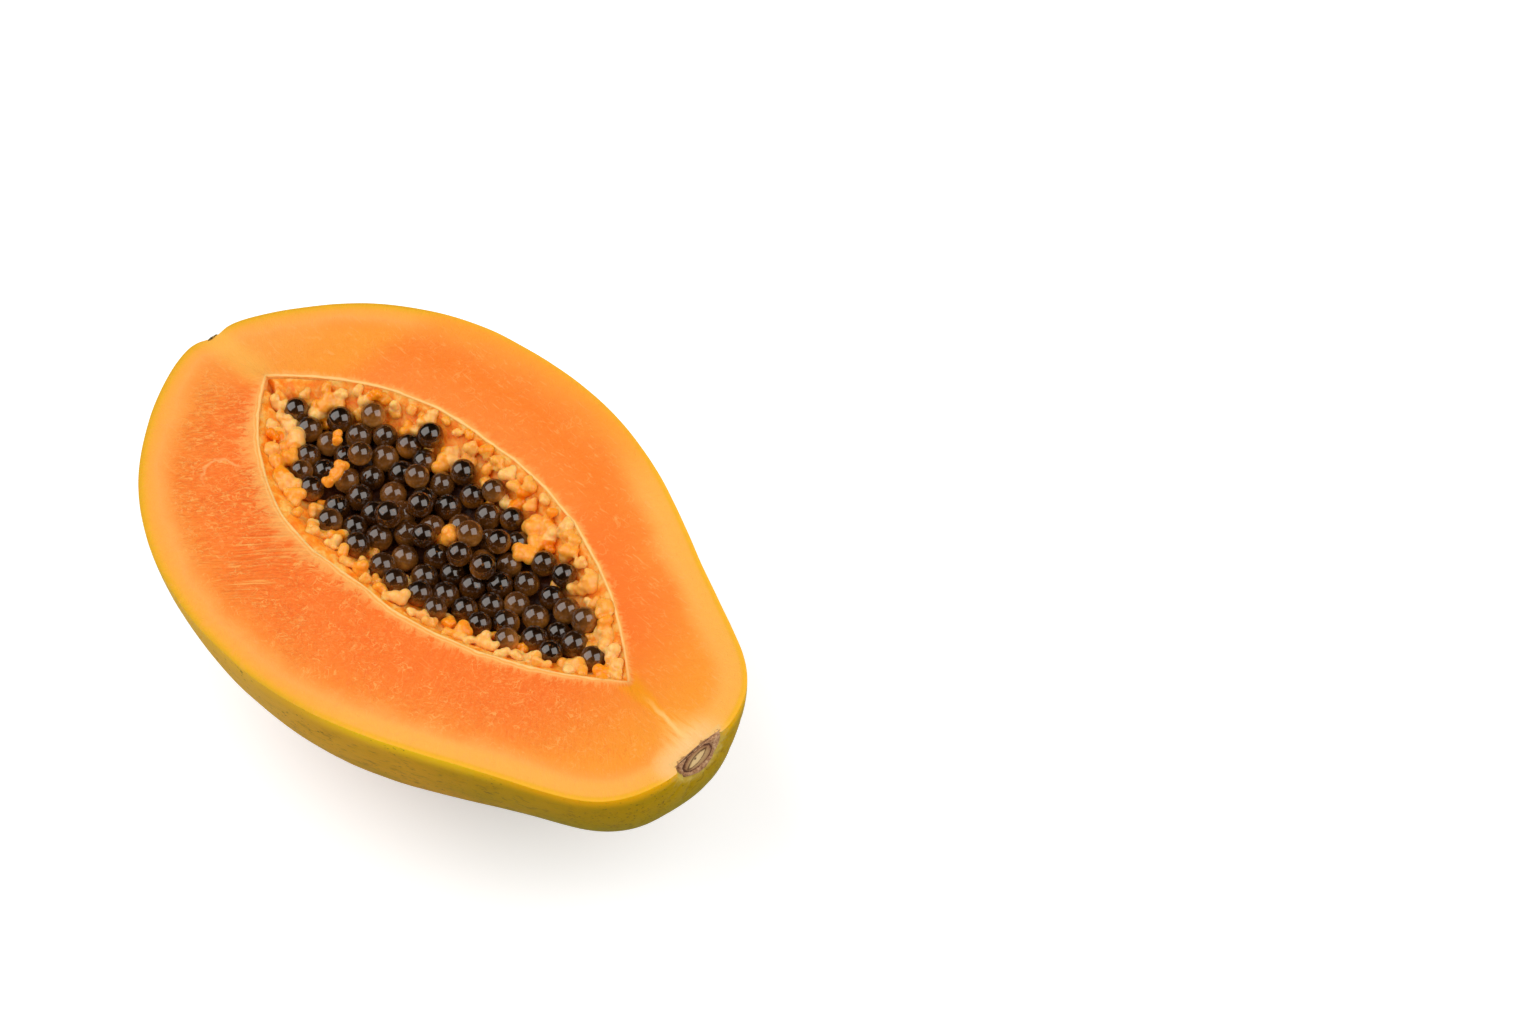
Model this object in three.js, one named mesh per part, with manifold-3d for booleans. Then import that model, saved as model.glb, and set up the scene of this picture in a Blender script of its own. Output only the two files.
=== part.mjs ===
// One half of a papaya, cut lengthwise and lying cut face up, with its seeds in the pulp of the cavity.
// Millimetres, +Z up. +X runs from the blossom end to the stem end, and the origin is the middle of
// the base of the fruit's box, at the small flat spot that it rests on.

import * as THREE from "three";
import { ParametricGeometry } from "three/addons/geometries/ParametricGeometry.js";
import { mergeVertices } from "three/addons/utils/BufferGeometryUtils.js";
import Module from "manifold-3d";

const wasm = await Module();
wasm.setup();

// The fruit. Its half width is a sum of cosine waves, which make the belly, the neck and the blunt ends.
const fruit = {
  middleX: 0.15, // middle of its axis: the two ends differ, and the box is centred
  halfLength: 82.5,
  belly: 49.3, // mean half width
  lean: -2.2, // moves the widest place towards the blossom end
  neck: -6.7, // pulls in the sides before the stem end
  blunt: 1.5, // fills out both ends
  shoulder: -2, // squares the stem end
  widest: 51.2, // half width at the widest place, as these waves give it
  depthRatio: 1.11, // the half is a little deeper than it is wide
  flatSpot: 0.8, // how much of its underside the fruit has flattened by lying on it
};
const cutHeight = fruit.widest * fruit.depthRatio - fruit.flatSpot;

// Five shallow lobes start at the stem and fade out along the fruit.
const lobes = { count: 5, height: 0.024, reach: 26, turn: 0.35 };

// A shallow dimple on each end: how deep, how wide, and where it lies across the fruit's axis.
const stemDimple = { depth: 1, radius: 7, y: 2.3, z: -1 };
const blossomDimple = { depth: 1.7, radius: 3.4, y: 3.1, z: -0.6 };

// The cavity: a pointed oval at the cut, a little off the fruit's axis, and a bowl below it.
const cavity = {
  centreX: -2.8,
  centreY: 3.9,
  halfLength: 60,
  halfWidth: 22.3,
  depth: 25,
  stemPower: 2.1, // how full each quarter of the oval is: 2 is a plain arc
  blossomPowerLeft: 2.7,
  blossomPowerRight: 3.5,
};

// The pulp under the seeds. Heights are measured from the cut.
const pulp = {
  clearance: 0.36, // gap to the flesh
  wallHeight: -1.9,
  middleHeight: -8,
  bank: 7, // how far the raised pulp reaches in from the wall
};

// Knobs of pulp between the seeds and the wall, and a few loose ones among the seeds.
const knobs = {
  count: 64,
  smallest: 1.1,
  largest: 2,
  band: 6.5, // how far from the wall they lie
  spacing: 2.5,
  apart: 0.8, // how near they come to a seed, as a share of both radii
  every: 5, // one ball in this many of the upper layer is a loose knob
};

const seeds = {
  diameter: 5.9,
  spread: 0.07, // share by which their sizes differ
  centreY: 4.1,
  halfLength: 53, // their centres lie inside a smaller oval than the cavity's
  halfWidth: 17.2,
  sink: 0.07, // share by which touching seeds press into each other
  tries: 400, // places tried for each seed, of which it takes the lowest
  lowerLayer: 52, // seeds that are dropped before the first loose knob
  topMiddle: -0.8, // highest centre in the middle of the heap, from the cut
  topEdge: -2.2,
};

// The round cork scar left by the stem, which the knife has cut through near its middle.
const scar = {
  x: 82.05, // its face
  y: 2.3,
  drop: 1, // its centre, below the cut
  halfWidth: 6.5,
  halfHeight: 5.7,
  tilt: 0.09,
  thickness: 2.3, // in the middle, and less towards the rim
  rimThickness: 0.9,
  ring: 0.53, // place of the ring's groove, as a share of the disc
  groove: 0.5,
  clearance: 0.3,
};

const mergeDistance = 1e-3; // vertices nearer than this are one

// ---------- repeatable random numbers ----------

function randomSource(start) {
  const factor = 16807;
  const modulus = 2147483647;
  let state = start;
  return () => {
    state = (state * factor) % modulus;
    return state / modulus;
  };
}

// ---------- the shapes as formulas ----------

// Half width of the fruit at the angle t, which runs from 0 at the blossom end to PI at the stem end.
function fruitHalfWidth(t) {
  const waves =
    fruit.belly +
    fruit.lean * Math.cos(t) +
    fruit.neck * Math.cos(3 * t) +
    fruit.blunt * Math.cos(4 * t) +
    fruit.shoulder * Math.cos(5 * t);
  return Math.sin(t) * waves;
}

function dimpleDepth(dimple, y, z) {
  const away = Math.hypot(y - dimple.y, z - dimple.z) / dimple.radius;
  return dimple.depth * Math.exp(-away * away);
}

// A point of the whole fruit's skin, measured from the middle of the cut. The turns 0 and PI lie in the cut.
function fruitPoint(t, turn, target) {
  const along = -fruit.halfLength * Math.cos(t);
  const fromStem = (fruit.halfLength - along) / lobes.reach;
  const lobe = lobes.height * Math.cos(lobes.count * turn + lobes.turn) * Math.exp(-fromStem * fromStem);
  const radius = fruitHalfWidth(t) * (1 + lobe);
  const y = radius * Math.cos(turn);
  const z = -fruit.depthRatio * radius * Math.sin(turn);
  const dimple = along > 0 ? -dimpleDepth(stemDimple, y, z) : dimpleDepth(blossomDimple, y, z);
  return target.set(fruit.middleX + along + dimple, y, z);
}

// How full the cavity's oval is in the quarter that holds the offset (u, v).
function ovalPower(u, v) {
  if (u > 0) return cavity.stemPower;
  return v > 0 ? cavity.blossomPowerLeft : cavity.blossomPowerRight;
}

// The oval's outline as shares of its half length and half width, for the angle a from the stem tip.
function ovalPoint(a) {
  const u = Math.cos(a);
  const side = Math.sin(a) < 0 ? -1 : 1;
  return new THREE.Vector2(u, side * (1 - Math.abs(u) ** ovalPower(u, side)));
}

// Distance from a place in the cavity to its wall. It is near the true one, and negative outside.
function wallDistance(x, y) {
  const u = (x - cavity.centreX) / cavity.halfLength;
  const v = (y - cavity.centreY) / cavity.halfWidth;
  const power = ovalPower(u, v);
  const level = Math.abs(v) + Math.abs(u) ** power;
  const slopeX = (power * Math.abs(u) ** (power - 1)) / cavity.halfLength;
  return (1 - level) / Math.hypot(slopeX, 1 / cavity.halfWidth);
}

// How far inside the seeds' oval a place lies: 1 in its middle, 0 on its edge, and less outside.
function seedRoom(x, y) {
  const u = (x - cavity.centreX) / seeds.halfLength;
  const v = (y - seeds.centreY) / seeds.halfWidth;
  return 1 - Math.abs(v) - Math.abs(u) ** ovalPower(u, v);
}

// Height of the pulp from the cut, without its knobs: it banks up towards the wall.
function pulpHeight(distance) {
  const away = Math.max(distance, 0) / pulp.bank;
  const bank = Math.exp(-away * away);
  return pulp.middleHeight + (pulp.wallHeight - pulp.middleHeight) * bank;
}

// A random place in the cavity's box.
function randomPlace(random) {
  return {
    x: cavity.centreX + cavity.halfLength * (2 * random() - 1),
    y: cavity.centreY + cavity.halfWidth * (2 * random() - 1),
  };
}

// ---------- where the seeds and knobs lie ----------

// Height at which a ball comes to rest at (x, y), on the pulp or on the balls that already lie there.
function restingHeight(x, y, radius, placed) {
  let height = pulpHeight(wallDistance(x, y)) + radius * (1 - 2 * seeds.sink);
  for (const other of placed) {
    const reach = (radius + other.radius) * (1 - seeds.sink);
    const apart = Math.hypot(x - other.x, y - other.y);
    if (apart < reach) height = Math.max(height, other.z + Math.sqrt(reach * reach - apart * apart));
  }
  return height;
}

// Drops balls one by one, each into the lowest of the places that it tries, until the heap is full.
// Every so often one in the upper layer is a loose knob of pulp instead of a seed.
function fillHeap() {
  const random = randomSource(4242);
  const placed = [];
  for (;;) {
    const upper = placed.length - seeds.lowerLayer;
    const loose = upper > 0 && upper % knobs.every === 0;
    const size = loose ? knobs.largest : seeds.diameter / 2;
    const radius = size * (1 + seeds.spread * (2 * random() - 1));
    let best = null;
    for (let tried = 0; tried < seeds.tries; ) {
      const { x, y } = randomPlace(random);
      const inward = seedRoom(x, y);
      if (inward < 0) continue;
      tried += 1;
      const top = seeds.topEdge + (seeds.topMiddle - seeds.topEdge) * Math.sqrt(inward);
      const z = restingHeight(x, y, radius, placed);
      if (!best || top - z > best.room) best = { x, y, z, radius, loose, room: top - z };
    }
    if (best.room < 0) return placed;
    placed.push(best);
  }
}

// Scatters the knobs along the wall, none too near another or a ball of the heap.
function scatterKnobs(heap) {
  const random = randomSource(4117);
  const placed = [];
  const mostTries = 9000;
  for (let tries = 0; tries < mostTries && placed.length < knobs.count; tries += 1) {
    const { x, y } = randomPlace(random);
    const distance = wallDistance(x, y);
    const radius = knobs.smallest + (knobs.largest - knobs.smallest) * random() ** 1.5;
    if (distance < radius + pulp.clearance || distance > knobs.band) continue;
    if (placed.some((other) => Math.hypot(x - other.x, y - other.y) < knobs.spacing)) continue;
    const z = pulpHeight(distance) + radius * (0.1 + 0.5 * random());
    const crowds = (ball) =>
      Math.hypot(x - ball.x, y - ball.y, z - ball.z) < (radius + ball.radius) * knobs.apart;
    if (heap.some(crowds)) continue;
    placed.push({ x, y, z, radius });
  }
  return placed;
}

// ---------- solids ----------

function solidOf(geometry) {
  const bare = geometry.clone();
  bare.deleteAttribute("normal");
  bare.deleteAttribute("uv");
  const merged = mergeVertices(bare, mergeDistance);
  const corners = merged.index.array;
  const kept = [];
  for (let i = 0; i < corners.length; i += 3) {
    const [a, b, c] = corners.slice(i, i + 3);
    if (a !== b && b !== c && c !== a) kept.push(a, b, c);
  }
  return new wasm.Manifold(
    new wasm.Mesh({
      numProp: 3,
      vertProperties: merged.attributes.position.array,
      triVerts: Uint32Array.from(kept),
    }),
  );
}

function geometryOf(solid) {
  const mesh = solid.getMesh();
  const geometry = new THREE.BufferGeometry();
  geometry.setAttribute("position", new THREE.BufferAttribute(mesh.vertProperties, 3));
  geometry.setIndex(new THREE.BufferAttribute(mesh.triVerts, 1));
  geometry.computeVertexNormals();
  return geometry;
}

// A slab that holds everything between two heights.
function slab(low, high) {
  const width = 3 * fruit.halfLength;
  const box = new THREE.BoxGeometry(width, width, high - low);
  box.translate(0, 0, (low + high) / 2);
  return solidOf(box);
}

function wholeFruit() {
  const stationsAlong = 40;
  const stationsAround = 44;
  const shape = (u, v, target) => fruitPoint(u * Math.PI, v * 2 * Math.PI, target).setZ(target.z + cutHeight);
  return solidOf(new ParametricGeometry(shape, stationsAlong, stationsAround));
}

// A closed form with the cavity's outline. Each ring has a share of that outline and a height function.
function ovalForm(rings) {
  const stationsAround = 44;
  const last = rings.length - 1;
  const shape = (u, v, target) => {
    const ring = rings[Math.round(v * last)];
    const edge = ovalPoint(-u * 2 * Math.PI);
    const x = cavity.centreX + edge.x * cavity.halfLength * ring.share;
    const y = cavity.centreY + edge.y * cavity.halfWidth * ring.share;
    return target.set(x, y, cutHeight + ring.height(x, y));
  };
  return solidOf(new ParametricGeometry(shape, stationsAround, last));
}

// Rings down the bowl, from the height start below the cut to the bottom, grown or shrunk by a factor.
function bowlRings(start, factor) {
  const count = 7;
  const first = Math.asin(-start / cavity.depth);
  return Array.from({ length: count + 1 }, (_, i) => {
    const fall = first + (i / count) * (Math.PI / 2 - first);
    const height = start + (-cavity.depth * Math.sin(fall) - start) * factor;
    return { share: Math.cos(fall) * factor, height: () => height };
  });
}

// The hollow that the knife opened, with room above the cut.
function cavityForm() {
  const headroom = 8;
  const lid = [0, 1].map((share) => ({ share, height: () => headroom }));
  return ovalForm([...lid, ...bowlRings(0, 1)]);
}

// The pulp without its knobs: banked on top, and fitted to the bowl with a small gap.
function pulpForm() {
  const topRings = 5;
  const fit = 1 - pulp.clearance / cavity.halfWidth;
  const bowl = bowlRings(pulp.wallHeight, fit);
  const top = Array.from({ length: topRings }, (_, i) => ({
    share: (i / topRings) * bowl[0].share,
    height: (x, y) => pulpHeight(wallDistance(x, y)),
  }));
  return ovalForm([...top, ...bowl]);
}

// A seed or knob: a round geometry of radius 1, grown so that its facets cut the true ball evenly.
function ballSolid(geometry, ball, index) {
  const facetGrowth = 1.07;
  const goldenAngle = 2.4;
  const piece = geometry.clone();
  piece.scale(ball.radius * facetGrowth, ball.radius * facetGrowth, ball.radius * facetGrowth);
  piece.rotateX(index * goldenAngle);
  piece.rotateZ(index * goldenAngle);
  piece.translate(ball.x, ball.y, cutHeight + ball.z);
  return solidOf(piece);
}

// The scar's disc about the X axis, grown by a margin. Its face is ringed by a groove, which only
// the disc itself has, and not the recess that it lies in.
function scarForm(margin) {
  const segments = 36;
  const rim = 1 + margin / scar.halfHeight;
  const grooveDepth = margin > 0 ? 0 : scar.groove;
  const grooveWidth = 0.15;
  const profile = [
    new THREE.Vector2(0, -scar.thickness - margin),
    new THREE.Vector2(rim * 0.5, -scar.thickness - margin),
    new THREE.Vector2(rim, -scar.rimThickness - margin),
    new THREE.Vector2(rim, -scar.rimThickness / 2),
    new THREE.Vector2(rim * 0.88, margin),
    new THREE.Vector2(scar.ring + grooveWidth, margin),
    new THREE.Vector2(scar.ring, margin - grooveDepth),
    new THREE.Vector2(scar.ring - grooveWidth, margin),
    new THREE.Vector2(0, margin),
  ];
  const disc = new THREE.LatheGeometry(profile, segments);
  disc.rotateZ(-Math.PI / 2);
  disc.scale(1, scar.halfWidth, scar.halfHeight);
  disc.rotateX(scar.tilt);
  disc.translate(scar.x, scar.y, cutHeight - scar.drop);
  return solidOf(disc);
}

// ---------- the part ----------

const roomAbove = slab(cutHeight, 3 * cutHeight);
const roomBelow = slab(-cutHeight, 0);

const flesh = wholeFruit().subtract(roomAbove).subtract(roomBelow).subtract(cavityForm());

// Seeds have 32 facets each and knobs 20.
const seedBall = new THREE.OctahedronGeometry(1, 1);
const knobBall = new THREE.IcosahedronGeometry(1, 0);
const heap = fillHeap();
const wallKnobs = scatterKnobs(heap);
const heapSolids = heap.map((ball, index) => ballSolid(ball.loose ? knobBall : seedBall, ball, index));
const knobSolids = wallKnobs.map((ball, index) => ballSolid(knobBall, ball, index));
const seedBed = wasm.Manifold.union([pulpForm(), ...heapSolids, ...knobSolids])
  .decompose()
  .reduce((largest, body) => (body.volume() > largest.volume() ? body : largest));

const papayaHalf = new THREE.Group();
papayaHalf.name = "papaya_half";

function addNode(name, solid, colour, roughness) {
  const material = new THREE.MeshStandardMaterial({ color: colour, roughness, metalness: 0 });
  const mesh = new THREE.Mesh(geometryOf(solid), material);
  mesh.name = name;
  papayaHalf.add(mesh);
}

addNode("papaya_flesh", flesh.subtract(scarForm(scar.clearance)), 0xff8a35, 0.45);
addNode("seed_bed", seedBed, 0x33211a, 0.25);
addNode("stem_scar", scarForm(0).subtract(roomAbove), 0x8a6448, 0.85);

export default papayaHalf;
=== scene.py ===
# A papaya half lying cut face up: wet flesh in its skin, the pulp and knobs of the cavity, loose
# seeds, the cork scar of the stem and the dry tip of the blossom end.
# Blender's lengths are metres. The sizes in this script are millimetres, and the heights in its
# formulas are measured from the cut.
import math

import bmesh
import bpy
import numpy as np
from mathutils import Matrix, Vector, kdtree, noise


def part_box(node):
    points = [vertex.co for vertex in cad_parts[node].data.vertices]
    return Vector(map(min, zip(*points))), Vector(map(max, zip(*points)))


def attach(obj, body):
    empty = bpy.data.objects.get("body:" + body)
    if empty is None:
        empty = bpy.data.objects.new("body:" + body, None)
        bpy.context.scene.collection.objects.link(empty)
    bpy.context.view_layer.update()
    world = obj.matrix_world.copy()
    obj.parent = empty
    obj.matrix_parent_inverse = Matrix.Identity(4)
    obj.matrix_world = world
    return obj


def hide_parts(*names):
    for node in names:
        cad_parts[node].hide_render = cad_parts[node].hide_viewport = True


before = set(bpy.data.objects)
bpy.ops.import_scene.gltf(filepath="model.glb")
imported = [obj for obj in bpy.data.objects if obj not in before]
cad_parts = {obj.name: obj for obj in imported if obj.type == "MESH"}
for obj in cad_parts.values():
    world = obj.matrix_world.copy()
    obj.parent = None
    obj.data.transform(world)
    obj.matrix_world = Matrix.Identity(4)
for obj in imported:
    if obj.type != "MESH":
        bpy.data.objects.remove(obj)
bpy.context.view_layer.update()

millimetre = 0.001
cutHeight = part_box("papaya_flesh")[1].z / millimetre
quarterTurn = Matrix.Rotation(math.pi / 2, 4, "Y")  # lays the poles of a ball along the fruit


# A colour from its everyday 0 to 255 values, as the linear one that the shaders take.
def colour(red, green, blue):
    def linear(value):
        share = value / 255
        if share <= 0.04045:
            return share / 12.92
        return ((share + 0.055) / 1.055) ** 2.4
    return (linear(red), linear(green), linear(blue), 1.0)


# Repeatable random numbers from 0 to 1.
def randomSource(start):
    state = start

    def draw():
        nonlocal state
        state = state * 16807 % 2147483647
        return state / 2147483647
    return draw


def randomDirection(draw):
    height = 2 * draw() - 1
    turn = 2 * math.pi * draw()
    across = math.sqrt(1 - height * height)
    return Vector((across * math.cos(turn), across * math.sin(turn), height))


# Soft noise at each of the points, from about -1 to 1, with lumps of the given size.
def softNoise(points, size, octaves=2):
    return np.array([noise.fractal(Vector(p) / size, 1.0, 2.0, octaves) for p in points])


def smoothStep(low, high, value):
    share = np.clip((value - low) / (high - low), 0, 1)
    return share * share * (3 - 2 * share)


# 1 at 0, and falling away softly to both sides.
def bell(value):
    return np.exp(-value * value)


# The sum of waves round a circle, each with its count, its start and its height.
def waveSum(angle, waves):
    return sum(height * np.sin(count * angle + start) for count, start, height in waves)


def stacked(*parts):
    return np.stack(np.broadcast_arrays(*parts), axis=-1)


def vertexPlaces(bm):
    return np.array([vertex.co for vertex in bm.verts])


def placeVertices(bm, places):
    for vertex, place in zip(bm.verts, places):
        vertex.co = place


# Cuts off everything above a height, and returns what the cut made.
def cutOffAbove(bm, height):
    everything = bm.verts[:] + bm.edges[:] + bm.faces[:]
    return bmesh.ops.bisect_plane(bm, geom=everything, dist=1e-5, plane_co=(0, 0, height),
                                  plane_no=(0, 0, 1), clear_outer=True)["geom_cut"]


def addObject(name, data):
    made = bpy.data.objects.new(name, data)
    bpy.context.scene.collection.objects.link(made)
    return made


def meshObject(bm, name):
    mesh = bpy.data.meshes.new(name)
    bm.to_mesh(mesh)
    bm.free()
    return addObject(name, mesh)


# Makes the finished piece from a bmesh in millimetres, with its materials and named point values.
def finishPiece(bm, name, materials, values=None, nodeName=None):
    bmesh.ops.translate(bm, vec=(0, 0, cutHeight), verts=bm.verts)
    bmesh.ops.scale(bm, vec=(millimetre,) * 3, verts=bm.verts)
    piece = meshObject(bm, name)
    mesh = piece.data
    for material in materials:
        mesh.materials.append(material)
    mesh.shade_smooth()
    for valueName, array in (values or {}).items():
        kind = "FLOAT_VECTOR" if array.ndim == 2 else "FLOAT"
        attribute = mesh.attributes.new(valueName, kind, "POINT")
        field = "vector" if array.ndim == 2 else "value"
        attribute.data.foreach_set(field, array.astype(np.float32).ravel())
    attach(piece, "root")
    if nodeName:
        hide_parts(nodeName)
    print(f"{name}: {sum(len(face.vertices) - 2 for face in mesh.polygons)} triangles")


def startMaterial(name, surface):
    material = bpy.data.materials.new(name)
    material.use_nodes = True
    shader = material.node_tree.nodes["Principled BSDF"]
    for socketName, value in surface.items():
        shader.inputs[socketName].default_value = value
    return material, material.node_tree


def finishMaterial(material, links):
    tree = material.node_tree
    for socketName, value in links.items():
        tree.links.new(value, tree.nodes["Principled BSDF"].inputs[socketName])
    return material


# Adds a node. A socket gets a value, or a link where the value is another node's output.
def addNode(tree, kind, sockets=None, **properties):
    node = tree.nodes.new("ShaderNode" + kind)
    for name, value in properties.items():
        setattr(node, name, value)
    for key, value in (sockets or {}).items():
        if isinstance(value, bpy.types.NodeSocket):
            tree.links.new(value, node.inputs[key])
        else:
            node.inputs[key].default_value = value
    return node


# The node tree of the first of the values that is another node's output. The helpers below work in it.
def treeOf(*values):
    return next(value.id_data for value in values if isinstance(value, bpy.types.NodeSocket))


def calc(operation, first, second=0.0, third=0.0):
    sockets = {0: first, 1: second, 2: third}
    return addNode(treeOf(first, second, third), "Math", sockets, operation=operation).outputs[0]


def times(*factors):
    product = factors[0]
    for factor in factors[1:]:
        product = calc("MULTIPLY", product, factor)
    return product


def gap(first, second):
    return calc("ABSOLUTE", calc("SUBTRACT", first, second))


# Lets noise push a value up and down, by up to half the amount each way.
def swing(noiseValue, amount, value=0.0):
    return calc("MULTIPLY_ADD", calc("SUBTRACT", noiseValue, 0.5), amount, value)


def pointValue(tree, name):
    return addNode(tree, "Attribute", attribute_name=name).outputs["Fac"]


def pointVector(tree, name):
    return addNode(tree, "Attribute", attribute_name=name).outputs["Vector"]


# The place on the object, in millimetres.
def placeOnObject(tree):
    sockets = {0: addNode(tree, "TexCoord").outputs["Object"], "Scale": 1 / millimetre}
    return addNode(tree, "VectorMath", sockets, operation="SCALE").outputs[0]


def partsOf(vector):
    return addNode(vector.id_data, "SeparateXYZ", {0: vector}).outputs


def vectorOf(x=0.0, y=0.0, z=0.0):
    return addNode(treeOf(x, y, z), "CombineXYZ", {0: x, 1: y, 2: z}).outputs[0]


def vectorCalc(operation, vector, other, output="Vector"):
    sockets = {0: vector, 1: other}
    return addNode(vector.id_data, "VectorMath", sockets, operation=operation).outputs[output]


def stretched(vector, factors):
    return vectorCalc("MULTIPLY", vector, factors)


def turned(vector, angle):
    sockets = {"Vector": vector, "Angle": angle}
    return addNode(vector.id_data, "VectorRotate", sockets, rotation_type="Z_AXIS").outputs[0]


def noiseOf(vector, scale, detail=2.0, roughness=0.5, distortion=0.0):
    sockets = {"Vector": vector, "Scale": scale, "Detail": detail, "Roughness": roughness,
               "Distortion": distortion}
    return addNode(vector.id_data, "TexNoise", sockets).outputs["Fac"]


# Brings a value from one range to another, and keeps it there.
def fit(value, low, high, newLow=0.0, newHigh=1.0, smooth=True):
    sockets = {"Value": value, "From Min": low, "From Max": high, "To Min": newLow, "To Max": newHigh}
    kind = "SMOOTHSTEP" if smooth else "LINEAR"
    return addNode(value.id_data, "MapRange", sockets, interpolation_type=kind).outputs["Result"]


# A colour ramp along a value. Each stop is a value, in its own unit, and the colour there.
def rampOf(value, *stops):
    low, high = stops[0][0], stops[-1][0]
    ramp = addNode(value.id_data, "ValToRGB", {0: fit(value, low, high, smooth=False)})
    elements = ramp.color_ramp.elements
    while len(elements) < len(stops):
        elements.new(0.5)
    for element, stop in zip(elements, stops):
        element.position = (stop[0] - low) / (high - low)
        element.color = colour(*stop[1:])
    return ramp.outputs["Color"]


def mixed(share, first, second):
    return addNode(share.id_data, "Mix", {0: share, 6: first, 7: second}, data_type="RGBA").outputs[2]


# Lays a colour over the base where the share of it is more than 0.
def over(base, share, *tone):
    return mixed(share, base, colour(*tone))


def bumped(height, depth, strength):
    sockets = {"Height": height, "Distance": depth * millimetre, "Strength": strength}
    return addNode(height.id_data, "Bump", sockets).outputs["Normal"]


fruit = {
    "middleX": 0.15,
    "halfLength": 82.5,
    "belly": 49.3,  # mean half width
    "lean": -2.2,  # moves the widest place towards the blossom end
    "neck": -6.7,  # pulls in the sides before the stem end
    "blunt": 1.5,  # fills out both ends
    "shoulder": -2.0,  # squares the stem end
    "depthRatio": 1.11,
}
lobes = {"count": 5, "height": 0.024, "reach": 26, "turn": 0.35}
stemDimple = {"depth": 1.0, "radius": 7, "y": 2.3, "z": -1}
blossomDimple = {"depth": 1.7, "radius": 3.4, "y": 3.1, "z": -0.6}
cavity = {
    "centreX": -2.8,
    "centreY": 3.9,
    "halfLength": 60,
    "halfWidth": 22.3,
    "depth": 25,
    "stemPower": 2.1,  # how full each quarter of the oval is: 2 is a plain arc
    "blossomPowerLeft": 2.7,
    "blossomPowerRight": 3.5,
    "waves": ((9, 1, 0.006), (17, 0, 0.005), (31, 2, 0.004)),  # its slightly uneven edge
    "bulge": 1.6,  # how much wider it is at one place on the side towards -Y
    "bulgeX": -22,
    "bulgeReach": 16,
}
scar = {
    "y": 2.3,
    "drop": 1.0,  # its centre, below the cut
    "halfWidth": 6.5,
    "halfHeight": 5.7,
    "faceLow": 81.9,  # its face leans back a little towards the cut
    "lowest": -6.7,
    "lean": 0.13,
    "recess": 0.6,
    "thickness": 1.0,
}
skinRelief = {
    "lump": 15,  # size of the soft lumps
    "lumpDepth": 0.3,
    "creases": 13,  # folds that run out from the scar
    "creaseDepth": 0.45,
    "creaseReach": 11,
    "creaseStart": 60,  # they fade in from here
    "creaseFull": 75,
    "inset": 0.04,  # keeps all of it just inside the plain form
}


def fruitHalfWidth(t):
    waves = fruit["belly"] + fruit["lean"] * np.cos(t) + fruit["neck"] * np.cos(3 * t)
    waves += fruit["blunt"] * np.cos(4 * t) + fruit["shoulder"] * np.cos(5 * t)
    return np.sin(t) * waves


def dimpleDepth(dimple, y, z):
    return dimple["depth"] * bell(np.hypot(y - dimple["y"], z - dimple["z"]) / dimple["radius"])


# The scar's leaning face: how far along the fruit it lies at a height.
def scarFace(z):
    return scar["faceLow"] - scar["lean"] * (z - scar["lowest"])


# How far out a place lies in the scar's oval: 1 on its edge.
def scarShare(y, z):
    return np.hypot((y - scar["y"]) / scar["halfWidth"], (z + scar["drop"]) / scar["halfHeight"])


# The skin of the whole fruit at the angle t from the blossom end and a turn about its axis, where
# the turns 0 and pi lie in the cut. Lumps, creases and the scar's recess only go inwards.
def skinPoint(t, turn):
    along = -fruit["halfLength"] * np.cos(t)
    fromStem = (fruit["halfLength"] - along) / lobes["reach"]
    lobe = lobes["height"] * np.cos(lobes["count"] * turn + lobes["turn"]) * bell(fromStem)
    radius = fruitHalfWidth(t) * (1 + lobe)
    y = radius * np.cos(turn)
    z = -fruit["depthRatio"] * radius * np.sin(turn)
    dimple = np.where(along > 0, -dimpleDepth(stemDimple, y, z), dimpleDepth(blossomDimple, y, z))
    x = fruit["middleX"] + along + dimple
    places = stacked(x, y, z)

    lumps = skinRelief["lumpDepth"] * (0.5 + 0.5 * softNoise(places, skinRelief["lump"]))
    fromScar = np.hypot(y - scar["y"], z + scar["drop"])
    angle = np.arctan2(z + scar["drop"], y - scar["y"])
    fold = np.maximum(0, np.cos(skinRelief["creases"] * angle + 1.5 * np.sin(2 * angle))) ** 3
    reach = bell(fromScar / skinRelief["creaseReach"])
    reach *= smoothStep(skinRelief["creaseStart"], skinRelief["creaseFull"], x)
    inwards = skinRelief["inset"] + np.clip(lumps, 0, 1) * np.minimum(1, radius / 8)
    inwards += skinRelief["creaseDepth"] * fold * reach
    direction = places - stacked(0.75 * x, 0, 0)  # leans towards the ends
    direction /= np.linalg.norm(direction, axis=-1, keepdims=True)
    places = places - direction * inwards[:, None]
    inScar = (x > 0) * smoothStep(1.04, 0.96, scarShare(y, z))
    recessed = np.minimum(places[:, 0], scarFace(z) - scar["recess"])
    places[:, 0] += inScar * (recessed - places[:, 0])
    floorHeight = -cutHeight  # the flat spot that it lies on
    places[:, 2] = np.maximum(places[:, 2], floorHeight)
    return places


def ovalPower(u, v):
    blossom = np.where(v > 0, cavity["blossomPowerLeft"], cavity["blossomPowerRight"])
    return np.where(u > 0, cavity["stemPower"], blossom)


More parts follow.
